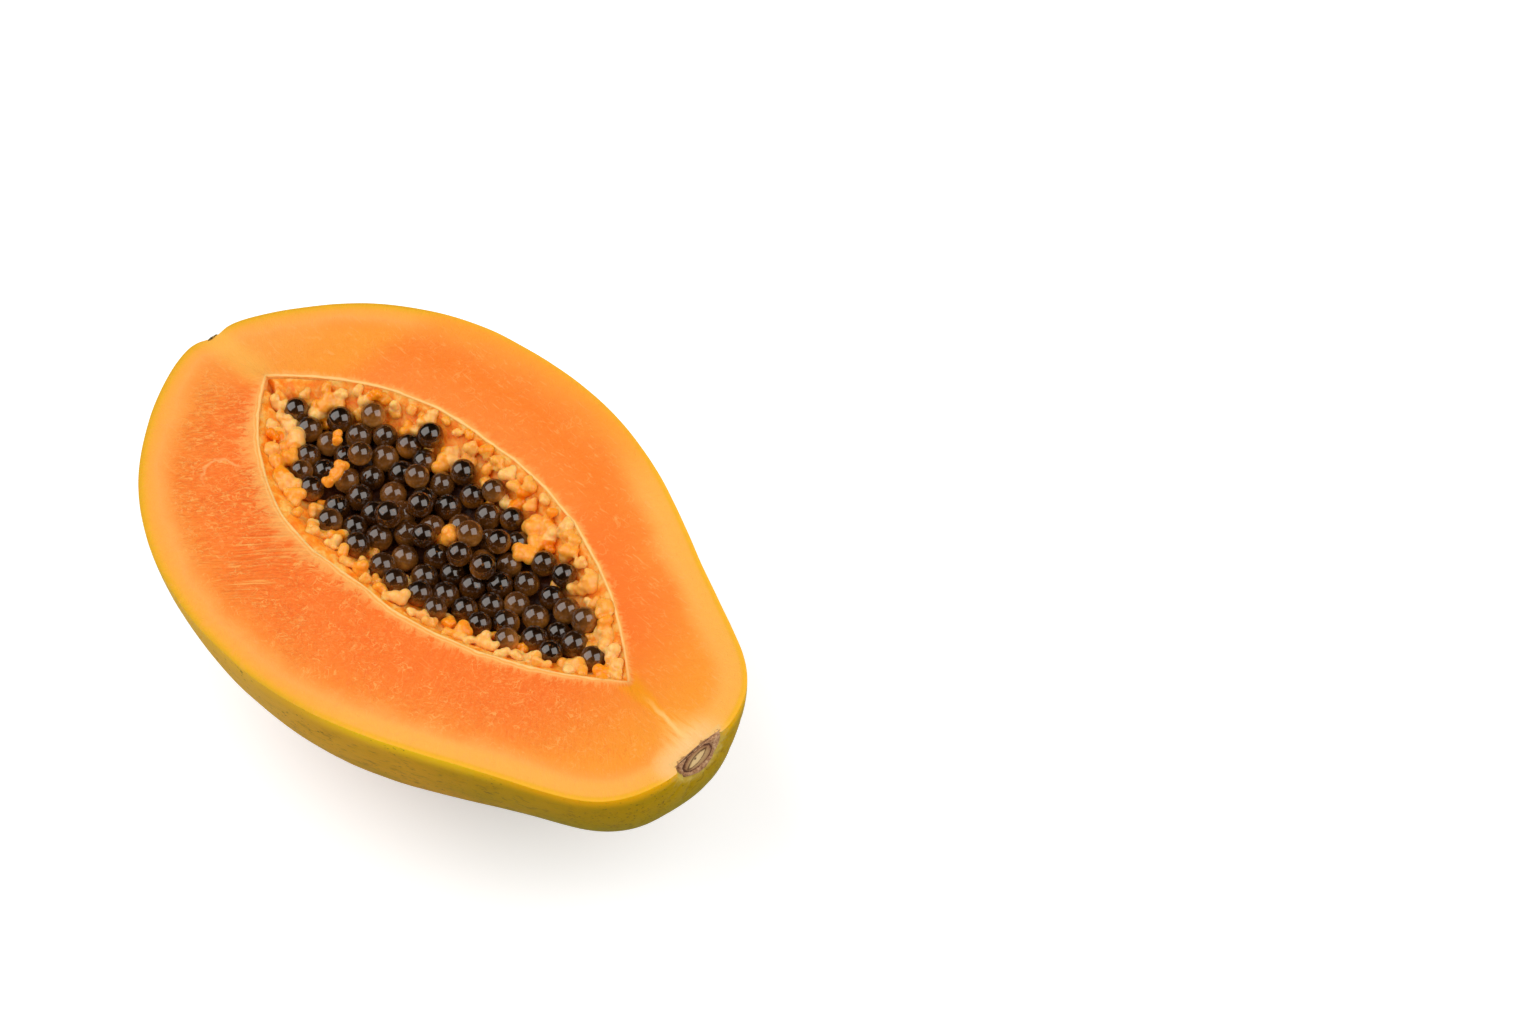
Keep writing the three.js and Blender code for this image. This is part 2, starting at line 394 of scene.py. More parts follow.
# The cavity's outline at the angle a from its stem tip.
def cavityEdge(a):
    u = np.cos(a)
    side = np.where(np.sin(a) < 0, -1, 1)
    v = side * (1 - np.abs(u) ** ovalPower(u, side))
    wave = waveSum(a, cavity["waves"]) * np.sqrt(np.abs(np.sin(a)))
    x = cavity["centreX"] + cavity["halfLength"] * u
    bulge = cavity["bulge"] * (side < 0) * bell((x - cavity["bulgeX"]) / cavity["bulgeReach"])
    y = cavity["centreY"] + cavity["halfWidth"] * v * (1 + wave) - bulge
    return x, y


# Draws places in from the cavity's edge, where the level is 1, to its middle, where it is 0.
def drawnIn(x, y, level):
    middleX, middleY = cavity["centreX"], cavity["centreY"]
    return middleX + (x - middleX) * level, middleY + (y - middleY) * level


def wallDistance(x, y):
    u = (x - cavity["centreX"]) / cavity["halfLength"]
    v = (y - cavity["centreY"]) / cavity["halfWidth"]
    power = ovalPower(u, v)
    level = np.abs(v) + np.abs(u) ** power
    slopeX = power * np.abs(u) ** (power - 1) / cavity["halfLength"]
    return (1 - level) / np.hypot(slopeX, 1 / cavity["halfWidth"])


def searchTree(points):
    tree = kdtree.KDTree(len(points))
    for index, point in enumerate(points):
        tree.insert(point, index)
    tree.balance()
    return tree


# Distance, seen from above, from each of the places to the nearest point of an outline.
def distanceTo(outline, places):
    tree = searchTree([(point[0], point[1], 0) for point in outline])
    return np.array([tree.find((place[0], place[1], 0))[2] for place in places])


fleshStyle = {
    "around": 160,  # faces round the whole skin
    "along": 240,  # faces from end to end
    "rings": 72,  # rings of faces over the cut
    "bowlRings": 24,
    "crowding": 0.4,  # how much denser they are near the skin and the cavity
    "lipHeight": 0.1,  # pale membrane that stands up round the cavity
    "lipPlace": 0.45,
    "lipWidth": 0.35,
    "edgeDrop": 0.08,
    "edgeRound": 0.3,
    "swellSize": 11,
    "swellDepth": 0.1,
    "fibreSize": 2.4,
    "fibreDepth": 0.09,
    "flowRadius": 56,  # of the ring that spreads the streaks evenly round the cavity
    "veinPlace": (-48.6, -21.0),
    "veinRadius": 4.3,
}


def wetFlesh():
    surface = {"Roughness": 0.42, "IOR": 1.4, "Specular IOR Level": 0.2, "Subsurface Weight": 0.12,
               "Subsurface Scale": 0.0015, "Subsurface Radius": (1.0, 0.35, 0.12)}
    material, tree = startMaterial("wetFlesh", surface)
    place = placeOnObject(tree)
    x, y, _ = partsOf(place)
    flow = pointVector(tree, "flow")
    skinDistance = pointValue(tree, "skinDistance")
    cavityDistance = pointValue(tree, "cavityDistance")

    drift = swing(noiseOf(place, 0.09, detail=3), 7.0)
    driftedSkin = calc("MULTIPLY_ADD", drift, fit(skinDistance, 1.0, 7.0), skinDistance)
    base = rampOf(driftedSkin,
        (0.0, 210, 160, 22),
        (0.35, 221, 162, 28),
        (0.9, 234, 168, 33),
        (2.2, 244, 164, 60),
        (4.5, 246, 162, 75),
        (6.5, 245, 151, 64),
        (9.0, 245, 134, 46),
        (13.0, 244, 123, 40),
        (20.0, 244, 116, 37))

    # deeper orange beside the skin along the far side
    farTone = rampOf(driftedSkin,
        (0.0, 235, 168, 32),
        (1.5, 244, 154, 46),
        (4.5, 244, 144, 50),
        (9.0, 244, 130, 43),
        (13.0, 244, 124, 35),
        (20.0, 244, 130, 47))
    farSide = times(fit(x, -54, -44), fit(x, 32, 8), fit(y, 4, 14))
    base = mixed(farSide, base, farTone)

    # paler towards both ends
    inner = fit(skinDistance, 3, 9)
    farShare = fit(y, -2, 8)
    blossomPale = fit(farShare, 0, 1, fit(x, -60, -72, 0, 0.45), fit(x, -44, -54, 0, 0.9), smooth=False)
    blossomTint = mixed(fit(x, -56, -72), colour(244, 151, 46), colour(245, 156, 62))
    base = mixed(times(blossomPale, inner), base, blossomTint)
    stemTint = mixed(fit(y, -4, 10), colour(245, 152, 42), colour(246, 154, 44))
    base = mixed(times(fit(x, 44, 74, 0, 0.85), inner), base, stemTint)

    # a bright yellow edge on the half towards the stem
    stemHalf = fit(x, 2, 30)
    glowReach = fit(y, 0, 6, 6.5, 9)
    edgeGlow = times(fit(skinDistance, 0.6, 1.6), fit(skinDistance, glowReach, 3.5), stemHalf, 0.7)
    base = over(base, edgeGlow, 246, 175, 75)
    rimGlow = times(fit(skinDistance, 1.3, 0.3, 0, 0.85), stemHalf)
    base = over(base, rimGlow, 246, 178, 40)

    # redder streaks and pale threads that run out from the cavity, stronger on the side towards -Y
    warp = noiseOf(place, 0.35, detail=2)
    warped = vectorCalc("ADD", flow, vectorOf(x=times(warp, 5.0), z=times(warp, 3.0)))
    radial = noiseOf(stretched(warped, (1.5, 1.5, 0.34)), 1.0, detail=4, roughness=0.6)
    nearSide = fit(y, 8, -14)
    redStreak = times(fit(radial, 0.53, 0.7), fit(skinDistance, 6, 12), fit(nearSide, 0, 1, 0.12, 0.42))
    base = over(base, redStreak, 240, 98, 32)
    paleThread = times(fit(radial, 0.47, 0.33), fit(nearSide, 0, 1, 0.06, 0.22))
    base = over(base, paleThread, 248, 160, 84)

    # fine wavy wrinkles, long ones in the half towards the blossom end, with thin creases; their
    # lighter crests are painted light and their darker creases painted shade, over the bump that raises
    # them
    wander = swing(noiseOf(place, 0.22, detail=1), 0.9)
    level = stretched(turned(place, -0.8), vectorOf(fit(x, -12, -34, 1.15, 0.6), 1.75, 1.0))
    level = vectorCalc("ADD", level, vectorOf(y=wander))
    wrinkle = noiseOf(level, 1.0, detail=2.5, roughness=0.6, distortion=0.9)
    patch = fit(noiseOf(place, 0.1, detail=2), 0.36, 0.58, 0.35, 1.0)
    wrinkled = times(patch, fit(skinDistance, 5, 10), fit(nearSide, 0, 1, 0.2, 1.0),
                     fit(x, 12, -24, 0.42, 1.0))
    paintedLightCrest = times(fit(wrinkle, 0.53, 0.65), wrinkled)
    paintedShadeCrease = times(fit(wrinkle, 0.47, 0.36), wrinkled)
    ridges = calc("SUBTRACT", paintedLightCrest, paintedShadeCrease)
    base = over(base, times(paintedLightCrest, 0.8), 250, 167, 82)
    base = over(base, times(paintedShadeCrease, 0.4), 238, 96, 30)

    # broken pale curls
    curl = gap(noiseOf(place, 0.3, detail=2, distortion=1.4), 0.5)
    curlShare = times(fit(curl, 0.022, 0.004), fit(noiseOf(place, 0.3, detail=1), 0.48, 0.56),
                      fit(skinDistance, 4, 8), fit(nearSide, 0, 1, 0.3, 0.6))
    base = over(base, curlShare, 251, 176, 92)

    # one pale curled vein beside the cavity
    fromVein = vectorCalc("DISTANCE", place, (*fleshStyle["veinPlace"], cutHeight), output="Value")
    vein = gap(swing(noiseOf(place, 0.5, detail=2), 2.6, fromVein), fleshStyle["veinRadius"])
    veinShare = times(fit(vein, 0.55, 0.05, 0, 0.6), fit(x, -46.5, -48.5), fit(y, -26, -23))
    base = over(base, veinShare, 250, 176, 104)

    # short pale dashes along the far side
    lengthwise = turned(stretched(place, (0.3, 1.6, 1)), 0.14)
    dash = noiseOf(lengthwise, 1.2, detail=2.5, distortion=0.6)
    dashShare = times(fit(dash, 0.58, 0.72, 0, 0.4), fit(skinDistance, 2, 6),
                      fit(nearSide, 0, 1, 1.0, 0.45), fit(cavityDistance, 3, 6))
    base = over(base, dashShare, 249, 176, 96)

    # the flesh feathers out pale beside the cavity, widest on the side towards -Y
    feather = noiseOf(stretched(warped, (0.9, 0.9, 0.2)), 1.0, detail=3)
    feather = calc("MULTIPLY_ADD", ridges, 0.12, feather)
    featherReach = fit(feather, 0.35, 0.7, 3.0, 8.5, smooth=False)
    wide = times(nearSide, fit(x, 12, -24, 0.3, 1.0))
    featherReach = times(featherReach, fit(wide, 0, 1, 0.3, 1.0, smooth=False))
    featherShare = fit(calc("DIVIDE", cavityDistance, featherReach), 1.15, 0.1, 0, 0.9)
    base = over(base, featherShare, 248, 171, 88)

    # the thin pale lines of the membrane
    lineDrift = swing(noiseOf(place, 0.3), 1.2)
    line = calc("MULTIPLY_ADD", lineDrift, fit(cavityDistance, 0.2, 0.7), cavityDistance)
    membrane = rampOf(line,
        (0.0, 250, 176, 84),
        (0.2, 252, 200, 126),
        (0.4, 252, 196, 120),
        (0.6, 247, 160, 70),
        (0.8, 248, 170, 84),
        (1.05, 251, 192, 114),
        (1.3, 248, 168, 80))
    lineShare = times(fit(line, fit(nearSide, 0, 1, 0.9, 1.7), 0.6), fit(x, 56, 46, 0.5, 1))
    base = mixed(lineShare, base, membrane)

    # from the cavity's stem tip to the scar: a deep yellow wedge, a thin pale line, then pale strokes
    lineY = swing(noiseOf(place, 0.3, detail=3), 1.5, calc("MULTIPLY_ADD", x, -0.07, 7.9))
    across = gap(y, lineY)
    wedge = times(fit(across, fit(x, 56, 70, 3.8, 1.6), 0.4, 0, 0.9), fit(cavityDistance, 1.0, 2.0),
                  fit(x, 75, 66), fit(x, 54, 57))
    base = over(base, wedge, 246, 150, 14)
    strokes = noiseOf(stretched(place, (0.22, 1.5, 1)), 1.0, detail=3, distortion=0.4)
    haze = times(fit(across, fit(x, 66, 78, 1.6, 9.0), 0.5), fit(x, 64, 78, 0, 0.9),
                 fit(strokes, 0.38, 0.56, 0.25, 1.0))
    base = mixed(haze, base, mixed(fit(x, 68, 79), colour(248, 176, 68), colour(251, 194, 118)))
    paleLine = times(fit(across, 0.9, 0.1), fit(x, 61, 71, 0, 0.7), fit(x, 79, 75))
    base = over(base, paleLine, 252, 200, 120)

    # the pale band at the blossom end
    blossomShare = times(fit(gap(y, 3.2), 5.5, 0.5, 0, 0.7), fit(x, -60, -66))
    base = over(base, blossomShare, 248, 178, 76)

    # whitish pink flesh round the scar, and the ragged brown and cream border of the cork
    scarBorder = pointValue(tree, "scarDistance")
    frayed = calc("MULTIPLY_ADD", noiseOf(place, 1.1, detail=4, roughness=0.65), 2.6, scarBorder)
    blush = times(fit(frayed, 7.0, 2.6, 0, 0.6), fit(y, 14, 3))
    base = over(base, blush, 252, 196, 134)
    base = over(base, fit(frayed, 2.4, 1.9, 0, 0.8), 236, 186, 114)
    base = over(base, fit(frayed, 1.45, 1.2, 0, 0.8), 158, 108, 64)

    fine = noiseOf(stretched(warped, (3.2, 3.2, 0.8)), 1.0, detail=4, roughness=0.6)
    height = calc("MULTIPLY_ADD", noiseOf(place, 5.0, detail=2), 0.25, fine)
    height = calc("MULTIPLY_ADD", ridges, 0.6, height)
    return finishMaterial(material, {"Base Color": base, "Normal": bumped(height, 0.22, 0.7)})


# The cavity's wall, peach and folded.
def cavityWall():
    surface = {"Roughness": 0.4, "IOR": 1.4, "Specular IOR Level": 0.25, "Subsurface Weight": 0.5,
               "Subsurface Scale": 0.002, "Subsurface Radius": (1.0, 0.45, 0.15)}
    material, tree = startMaterial("cavityWall", surface)
    place = placeOnObject(tree)
    fold = noiseOf(stretched(place, (0.6, 0.6, 0.2)), 1.0, detail=3)
    base = rampOf(fold,
        (0.3, 252, 160, 66),
        (0.5, 254, 176, 88),
        (0.7, 255, 190, 108))
    return finishMaterial(material, {"Base Color": base, "Normal": bumped(fold, 0.5, 0.8)})


def ripeSkin():
    surface = {"Roughness": 0.5, "IOR": 1.45, "Specular IOR Level": 0.04, "Subsurface Weight": 0.4,
               "Subsurface Scale": 0.003, "Subsurface Radius": (1.0, 0.65, 0.1)}
    material, tree = startMaterial("ripeSkin", surface)
    place = placeOnObject(tree)
    x, _, z = partsOf(place)
    along = stretched(place, (0.55, 1, 1))
    cloud = noiseOf(along, 0.045, detail=5, roughness=0.62)
    streak = noiseOf(stretched(place, (0.12, 0.5, 0.5)), 1.0, detail=3)

    # golden at the blossom end, mustard at the stem
    base = rampOf(swing(streak, 24, swing(cloud, 60, x)),
        (-30.0, 224, 170, 50),
        (-5.0, 222, 167, 52),
        (16.0, 220, 161, 36),
        (36.0, 206, 151, 22),
        (56.0, 198, 149, 8),
        (80.0, 186, 144, 4))
    lower = mixed(cloud, colour(198, 142, 22), colour(228, 166, 36))
    base = mixed(fit(z, cutHeight - 14, cutHeight - 30), base, lower)

    # green in patches low on the stem's half, and in thin streaks round the stem
    fromCut = fit(z, cutHeight - 5, cutHeight - 24, 0.12, 0.85)
    stemGreen = times(fit(swing(cloud, 150, x), 14, 66), fromCut)
    streaks = times(fit(streak, 0.5, 0.66, 0, 0.2), fit(x, 20, 60))
    green = mixed(noiseOf(along, 0.25, detail=3), colour(92, 106, 6), colour(150, 144, 10))
    base = mixed(calc("MAXIMUM", stemGreen, streaks), base, green)

    # painted glow: the skin is painted bright yellow just under the cut, for light that leaks out
    # through the flesh from the cut
    glowReach = fit(x, 44, 62, 4.6, 3.8)
    depth = calc("SUBTRACT", cutHeight - 0.1, z)
    paintedGlowShare = fit(calc("DIVIDE", depth, glowReach), 1.0, 0.0)
    paintedGlowStrength = times(fit(x, 0, 30, 0.2, 1), fit(x, 44, 60, 1, 0.85))
    paintedGlowTone = mixed(fit(x, 44, 64), colour(255, 204, 20), colour(255, 184, 0))
    base = mixed(times(paintedGlowShare, paintedGlowStrength), base, paintedGlowTone)

    # freckles: small dark dots in drifts, stretched along the fruit
    freckles = noiseOf(stretched(place, (0.5, 1, 1)), 1.3, detail=2)
    drifts = noiseOf(place, 0.07, detail=2)
    freckleShare = times(fit(freckles, 0.62, 0.7, 0, 0.7), fit(drifts, 0.4, 0.6))
    base = over(base, freckleShare, 92, 76, 14)

    # faint brown scuffs along the fruit, below the glow
    scuff = noiseOf(stretched(place, (0.14, 0.8, 0.8)), 1.0, detail=4, roughness=0.65, distortion=0.3)
    scuffShare = times(fit(scuff, 0.52, 0.68, 0, 0.6), fit(depth, 2, 7), fit(x, -10, 30, 0.25, 1))
    base = over(base, scuffShare, 126, 96, 16)

    # pale brown tissue round the scar
    scarBorder = pointValue(tree, "scarDistance")
    frayed = calc("MULTIPLY_ADD", noiseOf(place, 0.9, detail=3), 4.0, scarBorder)
    base = over(base, fit(frayed, 4.2, 1.8, 0, 0.8), 206, 176, 84)

    pores = noiseOf(place, 1.6, detail=3)
    return finishMaterial(material, {"Base Color": base, "Normal": bumped(pores, 0.16, 0.6)})


# A half ball for the skin, poles at the fruit's ends, and one for the bowl of the cavity, pole down,
# joined by the rings of the cut. Each vertex of this unit form then goes to its place on the fruit.
def unitFlesh():
    innerRadius = 0.5
    bm = bmesh.new()
    style = fleshStyle
    bmesh.ops.create_uvsphere(bm, u_segments=style["around"], v_segments=style["along"], radius=1,
                              matrix=quarterTurn)
    bmesh.ops.create_uvsphere(bm, u_segments=2 * style["along"], v_segments=style["bowlRings"],
                              radius=innerRadius)
    cutOffAbove(bm, 0)
    outerRim = [edge for edge in bm.edges if edge.is_boundary and edge.verts[0].co.length > 0.9]
    bowlRim = {vertex for edge in bm.edges if edge.is_boundary for vertex in edge.verts
               if vertex.co.length < 0.9}
    grown = bmesh.ops.extrude_edge_only(bm, edges=outerRim)["geom"]
    innerEnds = [item for item in grown if isinstance(item, bmesh.types.BMVert)]
    bmesh.ops.scale(bm, vec=(innerRadius,) * 3, verts=innerEnds)
    bmesh.ops.remove_doubles(bm, verts=innerEnds + list(bowlRim), dist=1e-4)
    radialEdges = [edge for edge in bm.edges
                   if abs(edge.verts[0].co.length - edge.verts[1].co.length) > 0.4]
    bmesh.ops.subdivide_edges(bm, edges=radialEdges, cuts=style["rings"] - 1)
    bmesh.ops.recalc_face_normals(bm, faces=bm.faces)
    for face in bm.faces:
        flat = all(abs(vertex.co.z) < 1e-4 for vertex in face.verts)
        outside = face.verts[0].co.length > 0.9
        face.material_index = 1 if flat else (0 if outside else 2)
    for edge in bm.edges:
        edge.smooth = len({face.material_index for face in edge.link_faces}) == 1
    return bm, innerRadius


def buildFlesh():
    bm, innerRadius = unitFlesh()
    style = fleshStyle
    unit = vertexPlaces(bm)
    radius = np.linalg.norm(unit, axis=1)
    onSkin = radius > 0.999
    inBowl = radius < innerRadius + 0.001
    t = np.arccos(np.clip(-unit[:, 0] / radius, -1, 1))
    turn = np.abs(np.arctan2(-unit[:, 2], unit[:, 1]))
    side = np.where(unit[:, 1] < 0, -1, 1)
    rimTurn = np.where(side < 0, math.pi, 0.0)
    skin = skinPoint(t, np.where(onSkin, turn, rimTurn))

    # over the cut: from the rim to the cavity's edge
    outlineAngle = side * (math.pi - t)
    edge = stacked(*cavityEdge(outlineAngle), 0)
    share = np.clip((1 - radius) / (1 - innerRadius), 0, 1)
    share = share - style["crowding"] * np.sin(2 * math.pi * share) / (2 * math.pi)
    cut = skin + (edge - skin) * share[:, None]

    # down the bowl
    fall = np.arcsin(np.clip(-unit[:, 2] / innerRadius, 0, 1))
    bowlEdge = cavityEdge(np.arctan2(unit[:, 1], unit[:, 0]))
    bowl = stacked(*drawnIn(*bowlEdge, np.cos(fall)), -cavity["depth"] * np.sin(fall))
    places = np.where(onSkin[:, None], skin, np.where(inBowl[:, None], bowl, cut))

    samples = 5000
    angles = np.linspace(0, math.pi, samples)
    rim = np.concatenate([skinPoint(angles, np.full(samples, turnNow)) for turnNow in (0.0, math.pi)])
    oval = stacked(*cavityEdge(np.linspace(-math.pi, math.pi, 2 * samples)))
    skinDistance = distanceTo(rim, places)
    cavityDistance = distanceTo(oval, places)

    # relief of the cut: the membrane's lip, soft swells and fibres that run out from the cavity
    ring = style["flowRadius"]
    flow = stacked(ring * np.cos(outlineAngle), ring * np.sin(outlineAngle), cavityDistance)
    onCut = ~onSkin & ~inBowl
    lip = style["lipHeight"] * bell((cavityDistance - style["lipPlace"]) / style["lipWidth"])
    dip = style["edgeDrop"] * bell(cavityDistance / style["edgeRound"])
    swell = style["swellDepth"] * softNoise(places, style["swellSize"])
    fibre = style["fibreDepth"] * softNoise(flow * (1, 1, 0.35), style["fibreSize"], 3)
    calm = smoothStep(0.2, 2.5, skinDistance)
    places[:, 2] += np.where(onCut, lip - dip + calm * (swell + fibre), 0)
    places[:, 2] -= np.where(inBowl & (fall < 0.01), style["edgeDrop"], 0)

    placeVertices(bm, places)
    scarDistance = (scarShare(places[:, 1], places[:, 2]) - 1) * scar["halfHeight"]
    onCutPlane = np.abs(places[:, 2]) < 0.6
    fromSection = np.hypot(np.maximum(0, np.abs(places[:, 1] - scar["y"]) - scar["halfWidth"]),
                           scarFace(0) - scar["thickness"] - places[:, 0])
    scarDistance = np.where(onCutPlane & ~onSkin, fromSection, scarDistance)
    scarDistance = np.where(places[:, 0] > 55, np.clip(scarDistance, 0, 30), 30)
    values = {"skinDistance": skinDistance, "cavityDistance": cavityDistance, "flow": flow,
              "scarDistance": scarDistance}
    materials = [ripeSkin(), wetFlesh(), cavityWall()]
    finishPiece(bm, "fleshAndSkin", materials, values, "papaya_flesh")


pulp = {"wallHeight": -1.9, "middleHeight": -8.0, "bank": 7.0}
knobs = {
    "count": 64,
    "tries": 9000,
    "smallest": 1.1,
    "largest": 2.0,
    "smallness": 1.5,  # above 1 makes most of them small
    "fromWall": 1,  # how close to the wall they come, in radii
    "clearance": 0.36,
    "band": 6.5,  # how far from the wall they lie
    "start": -63,  # none lies further towards the blossom end
    "spacing": 2.5,
    "apart": 0.8,  # below 1 lets them sink into the seeds
    "rise": (0.1, 0.5),  # how high they sit on the pulp, in radii: at least, and how much more
    "wallRise": 0,
    "highest": 2,  # their tops, above the cut
    "lumps": 4,  # smaller lumps that each knob is grown from
    "every": 5,  # each fifth ball that tops the heap is a knob
}
smallKnobs = {
    "count": 210,
    "tries": 8400,
    "smallest": 1.2,
    "largest": 2.2,
    "smallness": 1,
    "fromWall": 0.7,
    "clearance": 0,
    "band": 9.5,
    "start": -52,
    "spacing": 3.1,
    "apart": 0.82,
    "rise": (0.2, 0.7),
    "wallRise": 1.3,  # how much higher they lie beside the wall
    "highest": 0.7,
    "lumps": 2,
}
seeds = {
    "diameter": 5.9,
    "spread": 0.07,  # share by which their sizes differ
    "centreY": 4.1,
    "halfLength": 53,
    "halfWidth": 17.2,
    "sink": 0.07,
    "tries": 400,
    "lowerLayer": 52,
    "topMiddle": -0.8,
    "topEdge": -2.2,
}


def seedRoom(x, y):
    u = (x - cavity["centreX"]) / seeds["halfLength"]
    v = (y - seeds["centreY"]) / seeds["halfWidth"]
    return 1 - np.abs(v) - np.abs(u) ** ovalPower(u, v)


def pulpHeight(distance):
    bank = bell(np.maximum(distance, 0) / pulp["bank"])
    return pulp["middleHeight"] + (pulp["wallHeight"] - pulp["middleHeight"]) * bank


def randomPlace(draw):
    x = cavity["centreX"] + cavity["halfLength"] * (2 * draw() - 1)
    y = cavity["centreY"] + cavity["halfWidth"] * (2 * draw() - 1)
    return x, y


def restingHeight(x, y, radius, placed):
    height = pulpHeight(wallDistance(x, y)) + radius * (1 - 2 * seeds["sink"])
    for other in placed:
        reach = (radius + other["radius"]) * (1 - seeds["sink"])
        apart = np.hypot(x - other["x"], y - other["y"])
        resting = other["z"] + np.sqrt(np.maximum(reach * reach - apart * apart, 0))
        height = np.where(apart < reach, np.maximum(height, resting), height)
    return height


# Drops balls one by one, each into the lowest of the places that it tries, until the heap is full.
def fillHeap():
    draw = randomSource(4242)
    placed = []
    while True:
        upper = len(placed) - seeds["lowerLayer"]
        loose = upper > 0 and upper % knobs["every"] == 0
        size = knobs["largest"] if loose else seeds["diameter"] / 2
        radius = size * (1 + seeds["spread"] * (2 * draw() - 1))
        tried = []
        while len(tried) < seeds["tries"]:
            place = randomPlace(draw)
            if seedRoom(*place) >= 0:
                tried.append(place)
        x, y = np.array(tried).T
        top = seeds["topEdge"] + (seeds["topMiddle"] - seeds["topEdge"]) * np.sqrt(seedRoom(x, y))
        z = restingHeight(x, y, radius, placed)
        best = int(np.argmax(top - z))
        if top[best] < z[best]:
            return placed
        placed.append({"x": x[best], "y": y[best], "z": z[best], "radius": radius, "loose": loose})


def centreOf(ball):
    return ball["x"], ball["y"], ball["z"]


# Whether one of the balls touches this one, where apart is less than 1 if they may overlap.
def crowds(centre, radius, balls, apart):
    return any(math.dist(centre, centreOf(ball)) < (radius + ball["radius"]) * apart for ball in balls)


def tooNear(x, y, balls, spacing):
    return any(math.hypot(x - ball["x"], y - ball["y"]) < spacing for ball in balls)


# Scatters knobs over the bank of the pulp, clear of each other and of the heap.
def scatterKnobs(style, heap, draw):
    placed = []
    for _ in range(style["tries"]):
        if len(placed) == style["count"]:
            break
        x, y = randomPlace(draw)
        distance = wallDistance(x, y)
        span = style["largest"] - style["smallest"]
        radius = style["smallest"] + span * draw() ** style["smallness"]
        nearest = radius * style["fromWall"] + style["clearance"]
        if distance < nearest or distance > style["band"] or x < style["start"]:
            continue
        if tooNear(x, y, placed, style["spacing"]):
            continue
        least, more = style["rise"]
        z = pulpHeight(distance) + radius * (least + more * draw())
        z += style["wallRise"] * bell(distance / knobStyle["wallReach"])
        z = min(z, style["highest"] - radius)
        if crowds((x, y, z), radius, heap, style["apart"]):
            continue
        placed.append({"x": x, "y": y, "z": z, "radius": radius})
    return placed


pulpStyle = {
    "around": 240,
    "rings": 56,
    "foldSize": 4.5,
    "foldDepth": 0.9,
    "intoWall": 1.008,
    "edgeRise": 1.78,  # the soft pulp climbs the wall almost to the cut
    "edgeReach": 1.6,
}
tipPits = {
    "places": ((-60.6, 2.9), (-56.0, 5.0), (-56.4, 0.4)),  # hollows between webs at the blossom tip
    "radius": 1.25,
    "depth": 3.4,
    "webHeight": -0.7,
    "reach": -52,
}


def softPulp():
    surface = {"Roughness": 0.38, "IOR": 1.4, "Specular IOR Level": 0.25, "Subsurface Weight": 0.5,
               "Subsurface Scale": 0.002, "Subsurface Radius": (1.0, 0.45, 0.15), "Coat Weight": 0.12,
               "Coat Roughness": 0.2}
    material, tree = startMaterial("softPulp", surface)
    place = placeOnObject(tree)
    cloud = noiseOf(place, 0.4, detail=4, roughness=0.6)
    base = rampOf(cloud,
        (0.36, 252, 122, 10),
        (0.5, 255, 150, 40),
        (0.64, 255, 184, 92))
    # painted shade: the pulp turns dark brown away from the wall, under the seeds, where shade falls in
    # the gaps between them
    paintedShadeUnderSeeds = fit(pointValue(tree, "wallDistance"), 6.0, 9.5)
    base = over(base, paintedShadeUnderSeeds, 70, 30, 8)
    # painted shade: the small hollows at the blossom tip are coloured a darker, deeper orange
    base = over(base, pointValue(tree, "pit"), 226, 104, 12)
    folds = noiseOf(place, 1.6, detail=3)
    return finishMaterial(material, {"Base Color": base, "Normal": bumped(folds, 0.4, 0.7)})


# How deep a place lies in one of the small hollows, from 0 to 1.
def pitShare(x, y):
    share = 0 * x
    for pitX, pitY in tipPits["places"]:
        away = np.hypot(x - pitX, y - pitY) / tipPits["radius"]
        share = np.maximum(share, np.exp(-away ** 4))
    return share


# A closed ball whose lower half fits the bowl, and whose upper half is the banked top of the pulp.
def buildPulp():
    bm = bmesh.new()
    style = pulpStyle
    bmesh.ops.create_uvsphere(bm, u_segments=style["around"], v_segments=style["rings"], radius=1)
    unit = vertexPlaces(bm)
    edgeX, edgeY = cavityEdge(np.arctan2(unit[:, 1], unit[:, 0]))
    firstFall = math.asin(-(pulp["wallHeight"] + style["edgeRise"]) / cavity["depth"])
    rise = np.arcsin(np.clip(unit[:, 2], -1, 1))
    onTop = rise >= -1e-6
    fall = firstFall + np.maximum(-rise, 0) * (math.pi / 2 - firstFall) / (math.pi / 2)
    level = np.where(onTop, math.cos(firstFall) * (1 - rise / (math.pi / 2)), np.cos(fall))
    x, y = drawnIn(edgeX, edgeY, level * style["intoWall"])
    distance = wallDistance(x, y)
    climb = style["edgeRise"] * bell(np.maximum(distance, 0) / style["edgeReach"])
    places = stacked(x, y, 0 * x)
    fold = style["foldDepth"] * softNoise(places, style["foldSize"], 3) * smoothStep(0, 2, distance)
    topHeight = pulpHeight(distance) + climb + fold
    pit = pitShare(x, y)
    webbed = tipPits["webHeight"] + 0.4 * fold - tipPits["depth"] * pit
    topHeight += smoothStep(tipPits["reach"], tipPits["reach"] - 4, x) * (webbed - topHeight)
    places[:, 2] = np.where(onTop, topHeight, -cavity["depth"] * np.sin(fall))
    for edge in bm.edges:
        edge.smooth = max(abs(vertex.co.z) for vertex in edge.verts) > 1e-4
    placeVertices(bm, places)
    bmesh.ops.recalc_face_normals(bm, faces=bm.faces)
    values = {"wallDistance": distance, "pit": np.where(onTop, pit, 0)}
    finishPiece(bm, "pulp", [softPulp()], values, "seed_bed")


